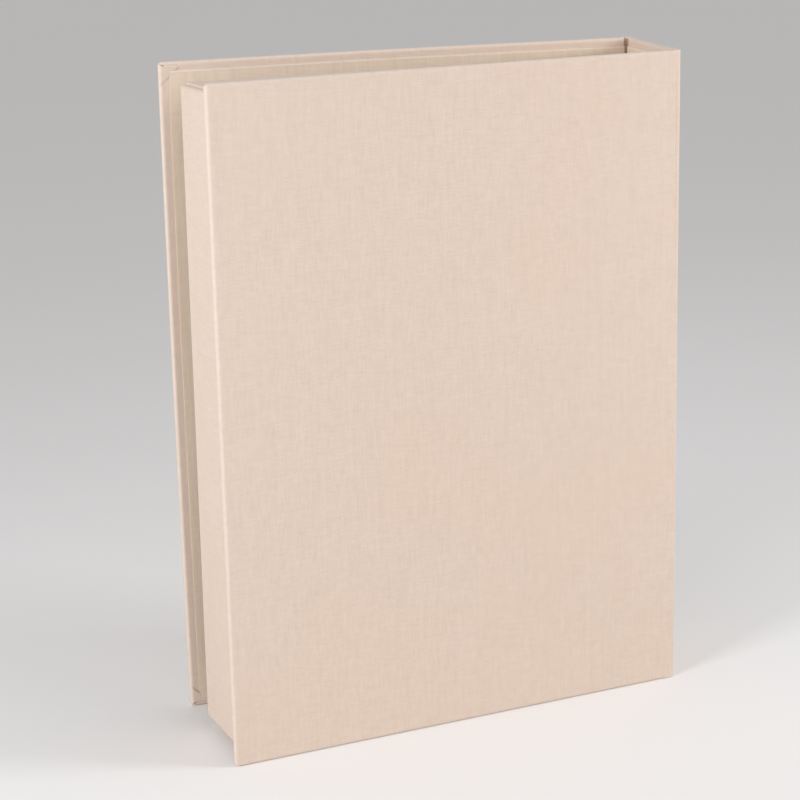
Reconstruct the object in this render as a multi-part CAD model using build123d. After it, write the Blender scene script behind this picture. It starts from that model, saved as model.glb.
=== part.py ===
from build123d import *
import os

# Clamshell book box standing on its tail edge, millimetres.
# X runs from the fore-edge to the spine, Y from the base to the lid, Z from tail to head.

# Driving dimensions
case_height = 320.0       # tail to head
case_width = 241.0        # fore-edge to the outer face of the spine
case_depth = 57.0         # outer face of the base to the outer face of the closed lid
panel_board = 3.0         # greyboard of the base, spine and lid
wall_board = 2.4          # greyboard of the tray
side_wall_step = 0.3      # how far the side walls stop short of the faces of the end walls
cloth = 0.4               # book cloth
lining = 0.3              # lining over the turned-in cloth
turn_in = 16.0            # cloth folded over the edge of a board
lining_margin = 4.2       # turned-in cloth left showing round a lining
square = 5.0              # how far the base and lid stand past the tray
rim_gap = 3.0             # between the tray's rim and the closed lid
spine_gap = 1.2           # between the tray and the lined spine
spine_setback = 7.6       # free cloth on the spine side of each corner
pivot_inset = 1.0         # from a corner's outer faces to the line its cloth turns about
joint_radius = 3.0        # outside of the cloth where it turns a corner of the case
joint_clearance = 0.5     # between the cloth of a corner and the board it turns from
joint_strip = 20.0        # inner joint cloth that runs under the tray
mitre_seam = 0.3          # gap where two turn-ins meet at a corner
corner_radius = 2.0       # corners of a covered panel, seen from its face
arris_radius = 1.6        # sanded edges of a covered panel
tray_corner_radius = 1.0  # upright corners of the covered tray
rim_radius = 0.6          # edges of the tray's rim
lining_step = 0.25        # chamfer along the free edges of a lining
spine_lean = 4.1          # degrees that the spine leans out as the box stands
lid_ajar = 2.1            # degrees that the lid stands open from the spine

# Sizes worked out from them
panel_thickness = panel_board + 2 * cloth
panel_width = case_width - panel_thickness
wall_thickness = wall_board + 2 * cloth
rim_y = case_depth - panel_thickness - lining - rim_gap
spine_inner_x = case_width - panel_thickness
tray_low = Vector(square, panel_thickness, square)
tray_high = Vector(spine_inner_x - lining - spine_gap, rim_y, case_height - square)
floor_low_y = tray_low.Y + cloth
floor_high_y = floor_low_y + wall_board
past = 1.0                # how far a cutting block runs past the face it cuts


def block(low, high):
    """Block between its lowest and its highest corner."""
    size = [b - a for a, b in zip(low, high)]
    middle = [(a + b) / 2 for a, b in zip(low, high)]
    return Pos(*middle) * Box(*size)


def rounded_slab(low, high, corner, arris):
    """Slab with round fore-edge corners and sanded edges, square along its hinge edge."""
    slab = block(low, high)
    slab = fillet(slab.edges().filter_by(Axis.Y).group_by(Axis.X)[0], corner)
    flats = slab.faces().filter_by(Plane.XZ)
    arrises = flats.edges().filter_by(lambda edge: edge.center().X < high[0] - arris)
    return fillet(arrises, arris)


def panel_blank(width):
    """Covered panel as one solid: outer face at Y 0, hinge edge at X width."""
    return rounded_slab(
        (0, 0, 0), (width, panel_thickness, case_height), corner_radius, arris_radius
    )


def panel_core(width):
    """Greyboard inside a covered panel."""
    low = (cloth, cloth, cloth)
    high = (width - cloth, cloth + panel_board, case_height - cloth)
    return rounded_slab(low, high, corner_radius - cloth, arris_radius - cloth)


def mitre(corner_z, towards):
    """Seam on the inner face, from a fore-edge corner to where the two turn-ins end."""
    start = corner_radius
    length = (turn_in - start) * 2**0.5 + past
    seam = Pos(length / 2, 0, 0) * Box(length, 2 * cloth, mitre_seam)
    corner = Pos(start, panel_thickness, corner_z + towards * start)
    return corner * Rot(0, -towards * 45, 0) * seam


def panel_cover(width):
    """Cloth over the outer face and three edges, turned in over the inner face and mitred."""
    inner_layer = block(
        (turn_in, cloth, turn_in),
        (width + past, panel_thickness + past, case_height - turn_in),
    )
    cover = panel_blank(width) - panel_core(width) - inner_layer
    return cover - mitre(0, 1) - mitre(case_height, -1)


def hinge_edge_wrap(width, strip):
    """Inner cloth that covers the hinge edge and a strip of the board beside it."""
    edge = block(
        (width - cloth, cloth, turn_in),
        (width, panel_thickness, case_height - turn_in),
    )
    flange = block(
        (width - strip, panel_thickness - cloth, turn_in),
        (width, panel_thickness, case_height - turn_in),
    )
    return edge + flange


def panel_lining(width):
    """Lining sheet over the turn-ins, down to the board between them, and round the hinge edge."""
    sheet = block(
        (lining_margin, panel_thickness, lining_margin),
        (width, panel_thickness + lining, case_height - lining_margin),
    )
    face = sheet.faces().sort_by(Axis.Y)[-1]
    free_edges = face.edges().filter_by(lambda edge: edge.center().X < width - lining_margin)
    sheet = chamfer(free_edges, lining_step)
    return sheet + hinge_edge_wrap(width, width - turn_in)


def spine_blank():
    """Covered spine as one solid, its long edges square where the joint cloths leave it."""
    blank = block(
        (spine_inner_x, spine_setback, 0),
        (case_width, case_depth - spine_setback, case_height),
    )
    return fillet(blank.edges().filter_by(Axis.Y), arris_radius)


def spine_core():
    """Greyboard of the spine."""
    core = block(
        (spine_inner_x + cloth, spine_setback + cloth, cloth),
        (case_width - cloth, case_depth - spine_setback - cloth, case_height - cloth),
    )
    return fillet(core.edges().filter_by(Axis.Y), arris_radius - cloth)


def spine_inner_layer(reach):
    """Inner cloth of the spine and of its two long edges, between the turn-ins."""
    return block(
        (spine_inner_x - reach, spine_setback - reach, turn_in),
        (case_width - cloth, case_depth - spine_setback + reach, case_height - turn_in),
    )


def spine_cover():
    """Cloth over the outer face, head and tail of the spine, turned in at both ends."""
    return spine_blank() - spine_core() - spine_inner_layer(past)


def spine_lining():
    """Lining of the spine's inner face and long edges."""
    sheet = block(
        (spine_inner_x - lining, spine_setback, lining_margin),
        (spine_inner_x, case_depth - spine_setback, case_height - lining_margin),
    )
    face = sheet.faces().sort_by(Axis.X)[0]
    sheet = chamfer(face.edges().filter_by(Axis.Y), lining_step)
    return sheet + (spine_inner_layer(0) - spine_core())


def corner_block(low, high, radius):
    """Block with its front outer upright corner rounded."""
    solid = block(low, high)
    corner = Vector(high[0], low[1], (low[2] + high[2]) / 2)
    upright = solid.edges().filter_by(Axis.Z).sort_by_distance(corner)[0]
    return fillet(upright, radius)


def joint_cloth():
    """Cover and inner cloth glued together, turning the corner from the base to the spine."""
    thickness = 2 * cloth
    start_x = panel_width + joint_clearance
    outside = corner_block((start_x, 0, 0), (case_width, spine_setback, case_height), joint_radius)
    inside = corner_block(
        (start_x - past, thickness, -past),
        (case_width - thickness, spine_setback + past, case_height + past),
        joint_radius - thickness,
    )
    return outside - inside


def mirrored(solid):
    """The same piece on the lid's side of the case."""
    return mirror(solid, about=Plane.XZ.offset(-case_depth / 2))


def tray_floor():
    """Floor board of the tray, its edges under the walls."""
    return block(
        (tray_low.X + cloth, floor_low_y, tray_low.Z + cloth),
        (tray_high.X - cloth, floor_high_y, tray_high.Z - cloth),
    )


def tray_side_wall(outer_x, inward):
    """Wall board along the fore-edge or the spine, its ends just below the end walls' faces."""
    near = outer_x + inward * cloth
    far = near + inward * wall_board
    end_inset = cloth + side_wall_step
    return block(
        (min(near, far), floor_high_y, tray_low.Z + end_inset),
        (max(near, far), tray_high.Y - cloth, tray_high.Z - end_inset),
    )


def tray_end_wall(outer_z, inward):
    """Wall board at the head or tail, held between the side walls."""
    near = outer_z + inward * cloth
    far = near + inward * wall_board
    return block(
        (tray_low.X + cloth + wall_board, floor_high_y, min(near, far)),
        (tray_high.X - cloth - wall_board, tray_high.Y - cloth, max(near, far)),
    )


def side_wall_ends(outer_z, inward):
    """What the cloth over both side walls lacks at the head or tail, where they stop short."""
    near = outer_z - inward * past
    far = outer_z + inward * side_wall_step
    ends = Part()
    for low_x, high_x in (
        (tray_low.X - past, tray_low.X + cloth + wall_board),
        (tray_high.X - cloth - wall_board, tray_high.X + past),
    ):
        ends += block((low_x, floor_high_y, min(near, far)), (high_x, tray_high.Y + past, max(near, far)))
    return ends


def tray_inside():
    """Space inside the tray above its floor board."""
    return block(
        (tray_low.X + wall_thickness, floor_high_y, tray_low.Z + wall_thickness),
        (tray_high.X - wall_thickness, tray_high.Y + past, tray_high.Z - wall_thickness),
    )


def tray_cover(boards):
    """Cloth up the outside of the walls, over the rim, down inside, and turned under the floor."""
    cover = block(tray_low, tray_high)
    cover = fillet(cover.edges().filter_by(Axis.Y), tray_corner_radius)
    cover -= side_wall_ends(tray_low.Z, 1)
    cover -= side_wall_ends(tray_high.Z, -1)
    cover -= tray_inside()
    rim = cover.faces().sort_by(Axis.Y)[-1]
    cover = fillet(rim.edges(), rim_radius)
    under = block(
        (tray_low.X + turn_in, tray_low.Y - past, tray_low.Z + turn_in),
        (tray_high.X - turn_in, floor_low_y, tray_high.Z - turn_in),
    )
    cover -= under
    for board in boards:
        cover -= board
    return cover


def tray_floor_lining():
    """Lining that covers the floor from wall to wall."""
    return block(
        (tray_low.X + wall_thickness, floor_high_y, tray_low.Z + wall_thickness),
        (tray_high.X - wall_thickness, floor_high_y + lining, tray_high.Z - wall_thickness),
    )


def turned(x, y, degrees):
    """Turn outwards about the upright line through X and Y."""
    return Pos(x, y, 0) * Rot(0, 0, -degrees) * Pos(-x, -y, 0)


pivot_x = case_width - pivot_inset
to_frame = Pos(-panel_width / 2, -panel_thickness / 2, 0)
spine_place = turned(pivot_x, pivot_inset, spine_lean)
lid_place = spine_place * turned(pivot_x, case_depth - pivot_inset, lid_ajar)

floor_board = tray_floor()
wall_boards = {
    "fore_edge_wall_board": tray_side_wall(tray_low.X, 1),
    "spine_side_wall_board": tray_side_wall(tray_high.X, -1),
    "tail_wall_board": tray_end_wall(tray_low.Z, 1),
    "head_wall_board": tray_end_wall(tray_high.Z, -1),
}

base_pieces = {
    "base_board": panel_core(panel_width),
    "base_cover_cloth": panel_cover(panel_width),
    "base_joint_lining": hinge_edge_wrap(panel_width, joint_strip),
    "tray_floor_board": floor_board,
    **wall_boards,
    "tray_cover_cloth": tray_cover([floor_board, *wall_boards.values()]),
    "tray_floor_lining": tray_floor_lining(),
}

spine_pieces = {
    "spine_board": spine_core(),
    "spine_cover_cloth": spine_cover(),
    "spine_lining": spine_lining(),
    "front_joint_cloth": joint_cloth(),
    "back_joint_cloth": mirrored(joint_cloth()),
}

lid_pieces = {
    "lid_board": mirrored(panel_core(panel_width)),
    "lid_cover_cloth": mirrored(panel_cover(panel_width)),
    "lid_lining": mirrored(panel_lining(panel_width)),
}

os.makedirs("parts", exist_ok=True)
bodies = ((base_pieces, Pos(0, 0, 0)), (spine_pieces, spine_place), (lid_pieces, lid_place))
for pieces, place in bodies:
    for name, solid in pieces.items():
        export_step(to_frame * place * solid, f"parts/{name}.step")
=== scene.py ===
import math

import bpy
import numpy as np
from mathutils import Matrix, Vector


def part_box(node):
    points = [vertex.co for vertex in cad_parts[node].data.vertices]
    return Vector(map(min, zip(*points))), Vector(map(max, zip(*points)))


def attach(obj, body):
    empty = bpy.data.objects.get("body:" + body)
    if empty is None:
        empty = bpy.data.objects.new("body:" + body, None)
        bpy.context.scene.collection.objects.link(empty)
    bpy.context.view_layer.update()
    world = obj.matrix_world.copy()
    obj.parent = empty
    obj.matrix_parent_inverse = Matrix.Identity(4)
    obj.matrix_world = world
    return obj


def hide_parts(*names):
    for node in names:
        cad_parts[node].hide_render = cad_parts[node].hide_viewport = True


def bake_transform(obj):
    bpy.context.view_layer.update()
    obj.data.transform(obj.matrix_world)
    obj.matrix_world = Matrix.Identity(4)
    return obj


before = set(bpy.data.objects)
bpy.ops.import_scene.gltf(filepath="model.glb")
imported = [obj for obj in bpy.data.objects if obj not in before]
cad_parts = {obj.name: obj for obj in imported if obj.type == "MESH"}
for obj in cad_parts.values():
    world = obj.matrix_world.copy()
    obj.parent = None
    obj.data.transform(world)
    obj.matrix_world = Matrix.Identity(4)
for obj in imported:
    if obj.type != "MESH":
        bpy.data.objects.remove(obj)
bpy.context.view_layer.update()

print("frame loaded:", len(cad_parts), "nodes")

# Shapes are worked out in millimetres on the closed box: x from the fore-edge to the spine,
# y from the base's outer face to the lid's, z from tail to head. placed() then opens the
# spine and the lid to where they rest and turns millimetres into the frame's metres.
caseSize = {
    "height": 320.0, "width": 241.0, "depth": 57.0,
    "panelThickness": 3.8, "panelCorner": 2.0, "arris": 1.6,
    "cloth": 0.4, "lining": 0.3, "turnIn": 16.0, "liningMargin": 4.2, "foreMargin": 4.7,
    "pivotInset": 1.0, "spineLean": 4.1, "lidAjar": 2.1,
    "jointStart": 232.0,      # the panel covers end here, and the joint cloth begins
    "spineFlat": 12.0,        # and ends here, this far up the spine
    # a hand-made box is never quite true: its head edge climbs this much to the base's hinge
    # and to the lid, the lid's board has warped outwards along its fore-edge and its head and
    # tail, and the tray is glued down a little askew, in degrees
    "baseRise": 0.65, "lidRise": 2.85, "foreBow": 2.5, "headBow": 2.2, "trayAskew": 0.32,
}
height = caseSize["height"]
depth = caseSize["depth"]
panelWidth = caseSize["width"] - caseSize["panelThickness"]
frameShift = np.array([-panelWidth / 2, -caseSize["panelThickness"] / 2, 0.0])


def smooth(x, low, high):
    # smoothstep: 0 below low, 1 above high, an S between them
    t = np.clip((x - low) / (high - low), 0, 1)
    return t * t * (3 - 2 * t)


def turned(points, x, y, degrees):
    # points turned outwards about the upright line through x and y, by one or many angles
    angle = np.radians(degrees) * np.ones(points.shape[:-1])
    dx, dy = points[..., 0] - x, points[..., 1] - y
    return np.stack([x + dx * np.cos(angle) + dy * np.sin(angle),
                     y - dx * np.sin(angle) + dy * np.cos(angle), points[..., 2]], axis=-1)


def placed(points, spineShare=0.0, lidShare=0.0):
    # closed box to resting box: the lid's turn about the back corner, then the spine's
    inset = caseSize["pivotInset"]
    pivotX = caseSize["width"] - inset
    points = turned(points, pivotX, depth - inset, caseSize["lidAjar"] * lidShare)
    points = turned(points, pivotX, inset, caseSize["spineLean"] * spineShare)
    return (points + frameShift) / 1000


def placedCase(points, spineShare=0.0, lidShare=0.0):
    # as placed(), for the case: it grows taller along the base and on the way to the lid
    share = np.clip(points[..., 1] / depth, 0, 1)
    rise = ((1 - share) * caseSize["baseRise"] * np.clip(points[..., 0] / panelWidth, 0, 1)
            + share * caseSize["lidRise"])
    grown = np.stack([points[..., 0], points[..., 1], points[..., 2] * (1 + rise / height)], axis=-1)
    return placed(grown, spineShare, lidShare)


def bowed(points):
    # the lid's warp: outwards by one hump along the height that fades from the fore-edge to the
    # joint, and by another along the width, both flat where the joint cloth begins
    across = np.clip(points[..., 0] / caseSize["jointStart"], 0, 1)
    along = np.clip(points[..., 2] / height, 0, 1)
    hump = (caseSize["foreBow"] * 4 * along * (1 - along) * (1 - smooth(across, 0, 1))
            + caseSize["headBow"] * 16 * across ** 2 * (1 - across) ** 2)
    return points + hump[..., None] * np.array([0, 1, 0])


def bell(x, middle, width):
    # a bell curve: 1 at the middle and about a third one width away from it
    return np.exp(-((x - middle) / width) ** 2)


def mirrored(points):
    # the same shape on the lid's side of the closed box
    return points * np.array([1, -1, 1]) + np.array([0, depth, 0])


def gridFaces(index):
    # quads between the neighbours of a 2-D array of vertex numbers
    return np.stack([index[:-1, :-1], index[1:, :-1], index[1:, 1:], index[:-1, 1:]],
                    axis=-1).reshape(-1, 4)


def spread(*runs):
    # one rising list out of runs (from, to, number of steps)
    return np.unique(np.round(np.concatenate([np.linspace(a, b, n + 1) for a, b, n in runs]), 6))


def makeObject(name, points, faces, material, rounded):
    # a mesh at the origin, with its place in its points, shaded round or flat
    mesh = bpy.data.meshes.new(name)
    mesh.from_pydata(points.reshape(-1, 3).tolist(), [], faces)
    mesh.polygons.foreach_set("use_smooth", np.full(len(faces), rounded))
    mesh.materials.append(material)
    made = bpy.data.objects.new(name, mesh)
    bpy.context.scene.collection.objects.link(made)
    return made


def makePiece(name, points, faces, clothUv, material, thickness, wear, flip=False):
    # a sheet from its visible surface: mesh, flat-cloth UV in metres, wear, thickness inwards
    if flip:
        faces, clothUv = faces[:, ::-1], clothUv[:, ::-1]
    piece = makeObject(name, points, faces.tolist(), material, True)
    mesh = piece.data
    mesh.uv_layers.new(name="flatCloth").data.foreach_set("uv", (clothUv / 1000).ravel())
    mesh.attributes.new("wear", "FLOAT", "POINT").data.foreach_set("value", wear.ravel())
    # a cut edge is crisp: the edges with a face on one side only are marked sharp
    edgeOfCorner = np.zeros(len(mesh.loops), int)
    mesh.loops.foreach_get("edge_index", edgeOfCorner)
    cutEdge = np.bincount(edgeOfCorner, minlength=len(mesh.edges)) == 1
    mesh.attributes.new("sharp_edge", "BOOLEAN", "EDGE").data.foreach_set("value", cutEdge)
    solidify = piece.modifiers.new("thickness", "SOLIDIFY")
    solidify.thickness = thickness / 1000
    solidify.offset = -1
    solidify.use_even_offset = False
    return piece


def linear(hexColour):
    # an sRGB hex colour to the linear one that shaders take
    channels = np.array([int(hexColour[i:i + 2], 16) for i in (1, 3, 5)]) / 255
    return (*np.where(channels <= 0.04045, channels / 12.92, ((channels + 0.055) / 1.055) ** 2.4), 1)


def addNode(tree, kind, settings=None, inputs=None):
    # a node with its settings; an input is a value, an output socket, or a node, whose first
    # output is taken
    made = tree.nodes.new(kind)
    for name, value in (settings or {}).items():
        setattr(made, name, value)
    for name, value in (inputs or {}).items():
        value = value.outputs[0] if isinstance(value, bpy.types.Node) else value
        if isinstance(value, bpy.types.NodeSocket):
            tree.links.new(value, made.inputs[name])
        else:
            made.inputs[name].default_value = value
    return made


def newMaterial(name):
    material = bpy.data.materials.new(name)
    material.use_nodes = True
    material.node_tree.nodes.clear()
    return material, material.node_tree


# Book cloth is a plain weave of linen-look thread, backed with paper and glued down: matt, with
# a dry sheen at grazing angles, thread by thread a little lighter or darker, with slubs.
def wovenCloth(name, look):
    material, tree = newMaterial(name)
    uv = addNode(tree, "ShaderNodeUVMap", {"uv_map": "flatCloth"})
    flat = {"noise_dimensions": "2D"}
    times, plus, minus = ({"operation": kind} for kind in ("MULTIPLY", "ADD", "SUBTRACT"))
    # threads wander by a part of their spacing
    wander = addNode(tree, "ShaderNodeTexNoise", flat,
                     {"Vector": uv, "Scale": 1000 / look["wanderLength"], "Detail": 1.0})
    offset = addNode(tree, "ShaderNodeVectorMath", minus,
                     {0: wander.outputs["Color"], 1: (0.5, 0.5, 0.5)})
    offset = addNode(tree, "ShaderNodeVectorMath", {"operation": "SCALE"},
                     {0: offset, "Scale": look["wander"] / 1000})
    moved = addNode(tree, "ShaderNodeVectorMath", plus, {0: uv, 1: offset})
    split = addNode(tree, "ShaderNodeSeparateXYZ", None, {0: moved})
    # warp and weft: the thread's number, its round back, and its own tone along its length, from
    # a noise that is read once per thread
    number, back, threadTone = [], [], []
    for k, pitch in enumerate((look["warpPitch"], look["weftPitch"])):
        number.append(addNode(tree, "ShaderNodeMath", times, {0: split.outputs[k], 1: 1000 / pitch}))
        turn = addNode(tree, "ShaderNodeMath", times, {0: number[k], 1: math.pi})
        back.append(addNode(tree, "ShaderNodeMath", {"operation": "SINE"}, {0: turn}))
    for k, apart in enumerate(look["threadsApart"]):
        whole = addNode(tree, "ShaderNodeMath", {"operation": "FLOOR"}, {0: number[k]})
        across = addNode(tree, "ShaderNodeMath", times, {0: whole, 1: apart})
        along = addNode(tree, "ShaderNodeMath", times, {0: number[1 - k], 1: 1 / look["slubLength"]})
        place = addNode(tree, "ShaderNodeCombineXYZ", None, {k: across, 1 - k: along})
        threadTone.append(addNode(tree, "ShaderNodeTexNoise", flat,
                                  {"Vector": place, "Scale": 1.0, "Detail": 2.0}))
    # over is 1 where the warp lies on top and 0 where the weft does
    crossing = addNode(tree, "ShaderNodeMath", times, {0: back[0], 1: back[1]})
    over = addNode(tree, "ShaderNodeMath", {"operation": "MULTIPLY_ADD"}, {0: crossing, 1: 0.5, 2: 0.5})
    tone = addNode(tree, "ShaderNodeMix", {"data_type": "FLOAT"},
                   {0: over, 2: threadTone[1], 3: threadTone[0]})
    crown = [addNode(tree, "ShaderNodeMath", {"operation": "ABSOLUTE"}, {0: wave}) for wave in back]
    roundness = addNode(tree, "ShaderNodeMix", {"data_type": "FLOAT"}, {0: over, 2: crown[1], 3: crown[0]})
    # streaks some threads wide, and a slow unevenness of the dye and the glue
    streakPlace = addNode(tree, "ShaderNodeMapping", None,
                          {"Vector": uv, "Scale": [1000 / size for size in look["streakSize"]] + [1.0]})
    streak = addNode(tree, "ShaderNodeTexNoise", flat, {"Vector": streakPlace, "Scale": 1.0, "Detail": 3.0})
    mottle = addNode(tree, "ShaderNodeTexNoise", flat,
                     {"Vector": uv, "Scale": 1000 / look["mottleSize"], "Detail": 3.0})
    # each pattern shifts the shade by how far it is from its own middle
    shade = 0.5
    for pattern, middle, contrast in ((tone, 0.5, "threadContrast"), (roundness, 0.6, "gapContrast"),
                                      (over, 0.5, "checkContrast"), (streak, 0.5, "streakContrast")):
        away = addNode(tree, "ShaderNodeMath", minus, {0: pattern, 1: middle})
        shade = addNode(tree, "ShaderNodeMath", {"operation": "MULTIPLY_ADD"},
                        {0: away, 1: look[contrast], 2: shade})
    warmth = addNode(tree, "ShaderNodeMath", minus, {0: mottle, 1: look["mottleMiddle"]})
    warmth = addNode(tree, "ShaderNodeMath", times, {0: warmth, 1: look["mottle"]})
    # handled arrises are a little paler, in patches
    wear = addNode(tree, "ShaderNodeAttribute", {"attribute_name": "wear"}).outputs["Fac"]
    patches = addNode(tree, "ShaderNodeTexNoise", flat,
                      {"Vector": uv, "Scale": 1000 / look["patchSize"], "Detail": 3.0})
    worn = addNode(tree, "ShaderNodeMath", times, {0: wear, 1: patches})
    worn = addNode(tree, "ShaderNodeMath", times, {0: worn, 1: look["wear"]})
    cloth = linear(look["dark"])
    for share, colour in ((shade, "light"), (warmth, "warm"), (worn, "worn")):
        cloth = addNode(tree, "ShaderNodeMix", {"data_type": "RGBA", "clamp_factor": True},
                        {0: share, 6: cloth, 7: linear(look[colour])}).outputs[2]
    relief = addNode(tree, "ShaderNodeMath", {"operation": "MULTIPLY_ADD"},
                     {0: tone, 1: look["toneRelief"], 2: roundness})
    bump = addNode(tree, "ShaderNodeBump", None,
                   {"Strength": look["relief"], "Distance": look["threadHeight"] / 1000, "Height": relief})
    shader = addNode(tree, "ShaderNodeBsdfPrincipled", None,
                     {"Base Color": cloth, "Roughness": look["roughness"], "Normal": bump,
                      "Specular IOR Level": look["specular"], "Sheen Weight": look["sheen"],
                      "Sheen Roughness": 0.5})
    addNode(tree, "ShaderNodeOutputMaterial", None, {"Surface": shader})
    return material


# Real thread spacing is about 0.45 mm. It is drawn at 0.6 mm, so that it just shows. Sizes are
# in millimetres, and a slub's length is in threads.
weave = {
    "warpPitch": 0.60, "weftPitch": 0.62, "wander": 0.35, "wanderLength": 11.11,
    "threadsApart": (7.3, 9.1), "mottleSize": 71.43, "mottleMiddle": 0.35, "patchSize": 3.846,
    "threadContrast": 0.6, "gapContrast": 0.36, "checkContrast": 0.26,
    "relief": 0.5, "toneRelief": 0.8, "threadHeight": 0.10, "sheen": 0.1,
}
bookCloth = wovenCloth("linen book cloth, plain weave", {
    **weave, "slubLength": 12.5, "streakSize": (2.381, 45.45), "streakContrast": 0.14,
    "dark": "#CEB7A4", "light": "#F4E2D3", "warm": "#E7C9B6", "mottle": 0.46,
    "worn": "#F6ECE2", "wear": 0.5, "roughness": 0.86, "specular": 0.25,
})
liningCloth = wovenCloth("lining cloth, plain weave", {
    **weave, "slubLength": 20.0, "streakSize": (1.923, 83.33), "streakContrast": 0.40,
    "dark": "#D6BFA8", "light": "#F8E7D3", "warm": "#EACFB6", "mottle": 0.26,
    "worn": "#FAF0E8", "wear": 1.3, "roughness": 0.88, "specular": 0.2,
})


# Greyboard is pressed from waste paper: dull warm grey with darker and lighter fibres, and
# layers that show along its cut edges.
def pressedBoard(look):
    material, tree = newMaterial("greyboard, pressed and cut")
    place = addNode(tree, "ShaderNodeTexCoord").outputs["Object"]
    fibres = addNode(tree, "ShaderNodeTexNoise", None,
                     {"Vector": place, "Scale": 1000 / look["fibreSize"], "Detail": 5.0, "Distortion": 0.6})
    flecks = addNode(tree, "ShaderNodeTexVoronoi", None,
                     {"Vector": place, "Scale": 1000 / look["fleckSize"]}).outputs["Distance"]
    shade = addNode(tree, "ShaderNodeMath", {"operation": "MULTIPLY"}, {0: flecks, 1: look["fleckShare"]})
    shade = addNode(tree, "ShaderNodeMath", {"operation": "MULTIPLY_ADD"},
                    {0: fibres, 1: look["fibreShare"], 2: shade})
    colour = addNode(tree, "ShaderNodeMix", {"data_type": "RGBA", "clamp_factor": True},
                     {0: shade, 6: linear(look["dark"]), 7: linear(look["light"])}).outputs[2]
    bump = addNode(tree, "ShaderNodeBump", None,
                   {"Strength": 0.4, "Distance": look["fibreHeight"] / 1000, "Height": fibres})
    shader = addNode(tree, "ShaderNodeBsdfPrincipled", None,
                     {"Base Color": colour, "Roughness": 0.93, "Specular IOR Level": 0.2, "Normal": bump})
    addNode(tree, "ShaderNodeOutputMaterial", None, {"Surface": shader})
    return material


greyboard = pressedBoard({"dark": "#7C756B", "light": "#ABA398", "fibreSize": 1.111, "fleckSize": 2.381,
                          "fibreShare": 0.8, "fleckShare": 0.35, "fibreHeight": 0.1})

nodeMaterial = {"cloth": bookCloth, "lining": liningCloth, "board": greyboard}
for nodeName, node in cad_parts.items():
    node.data.materials.clear()
    node.data.materials.append(nodeMaterial[nodeName.split("_")[-1]])
print("materials made")


# Edge section of the cover: from the outer face round the arris, across the edge, round the
# inner arris and inwards to the cut end of the turn-in. Inset is measured from the silhouette,
# offset from the outer face. Thickness may change along the case, so each is rows x columns.
coverLook = {"ringInset": 2.2, "arrisSteps": 7, "foldStep": 0.3, "foldReach": 12.4,
             "plainFrom": 20, "plainStep": 8, "wearAt": 0.3, "wearWidth": 0.7}


def edgeSection(thickness, radius):
    thickness, radius = np.atleast_1d(thickness), np.atleast_1d(radius)
    phi = np.linspace(0, math.pi / 2, coverLook["arrisSteps"] + 1)[:, None]
    inwards = spread((coverLook["ringInset"], coverLook["foldReach"],
                      round((coverLook["foldReach"] - coverLook["ringInset"]) / coverLook["foldStep"])),
                     (coverLook["foldReach"], caseSize["turnIn"], 3))[:, None]
    one = np.ones_like(thickness)
    inset = np.concatenate([coverLook["ringInset"] * one[None], radius * (1 - np.sin(phi)),
                            0 * one[None], radius * (1 - np.cos(phi)), inwards * one])
    offset = np.concatenate([0 * one[None], radius * (1 - np.cos(phi)), thickness[None] / 2,
                             thickness - radius * (1 - np.sin(phi)), inwards * 0 + thickness])
    run = np.cumsum(np.hypot(np.diff(inset, axis=0), np.diff(offset, axis=0)), axis=0)
    run = np.concatenate([0 * one[None], run])
    return inset, offset, run


def panelSteps(length, bothEnds):
    # shares along a panel, close together near its corners, where the cloth is folded
    reach, plain = coverLook["foldReach"], coverLook["plainFrom"]
    near = spread((0, reach, round(reach / coverLook["foldStep"])), (reach, plain, 3))
    middle = np.linspace(plain, length - plain * bothEnds, int(length / coverLook["plainStep"]))
    far = length - near if bothEnds else np.array([length])
    return np.unique(np.round(np.concatenate([near, middle, far]), 6)) / length


def roundCorners(x, z, radius, inset=0.0):
    # inside each fore-edge corner's square, squares about its centre become circles
    for cornerZ, sign in ((inset, 1), (height - inset, -1)):
        vx, vz = x - inset - radius, (z - cornerZ) * sign - radius
        inside = (vx < 0) & (vz < 0)
        reach = np.hypot(vx, vz)
        share = np.where(inside & (reach > 0), np.maximum(-vx, -vz) / np.maximum(reach, 1e-9), 1)
        x = np.where(inside, inset + radius + vx * share, x)
        z = np.where(inside, cornerZ + sign * (radius + vz * share), z)
    return x, z


# The turned-in corner: one turn-in is folded over the other. Its ply ends on a diagonal under
# the lining, on another across the fore-edge margin, and along the head 2 mm in. The tip is
# nicked where the cloth is pinched round the corner of the board. Places are distances along
# and below the corner.
cornerFold = {
    "ply": 0.36, "edge": 0.2, "onArris": (1.2, 0.3),
    "headInset": 2.05, "headRun": 0.9,                     # the ply's head edge, soon this far in
    "headFrom": (8.0, 1.0), "headSlope": 0.97,             # its diagonal under the lining
    "foreFrom": (4.7, 6.9), "foreSlope": 0.875,            # its diagonal across the margin
    "endGap": 0.08, "headGap": 0.5, "gapWidth": 0.24,      # grooves along its ends and its head edge
    "nick": 0.42, "nickFrom": (0.6, 0.3), "nickRun": (1.8, 1.6), "nickWidth": 0.27,
    "marginFade": ((5.0, 5.4), (4.0, 4.4)), "cutFade": (11.0, 12.4),
}


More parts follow.
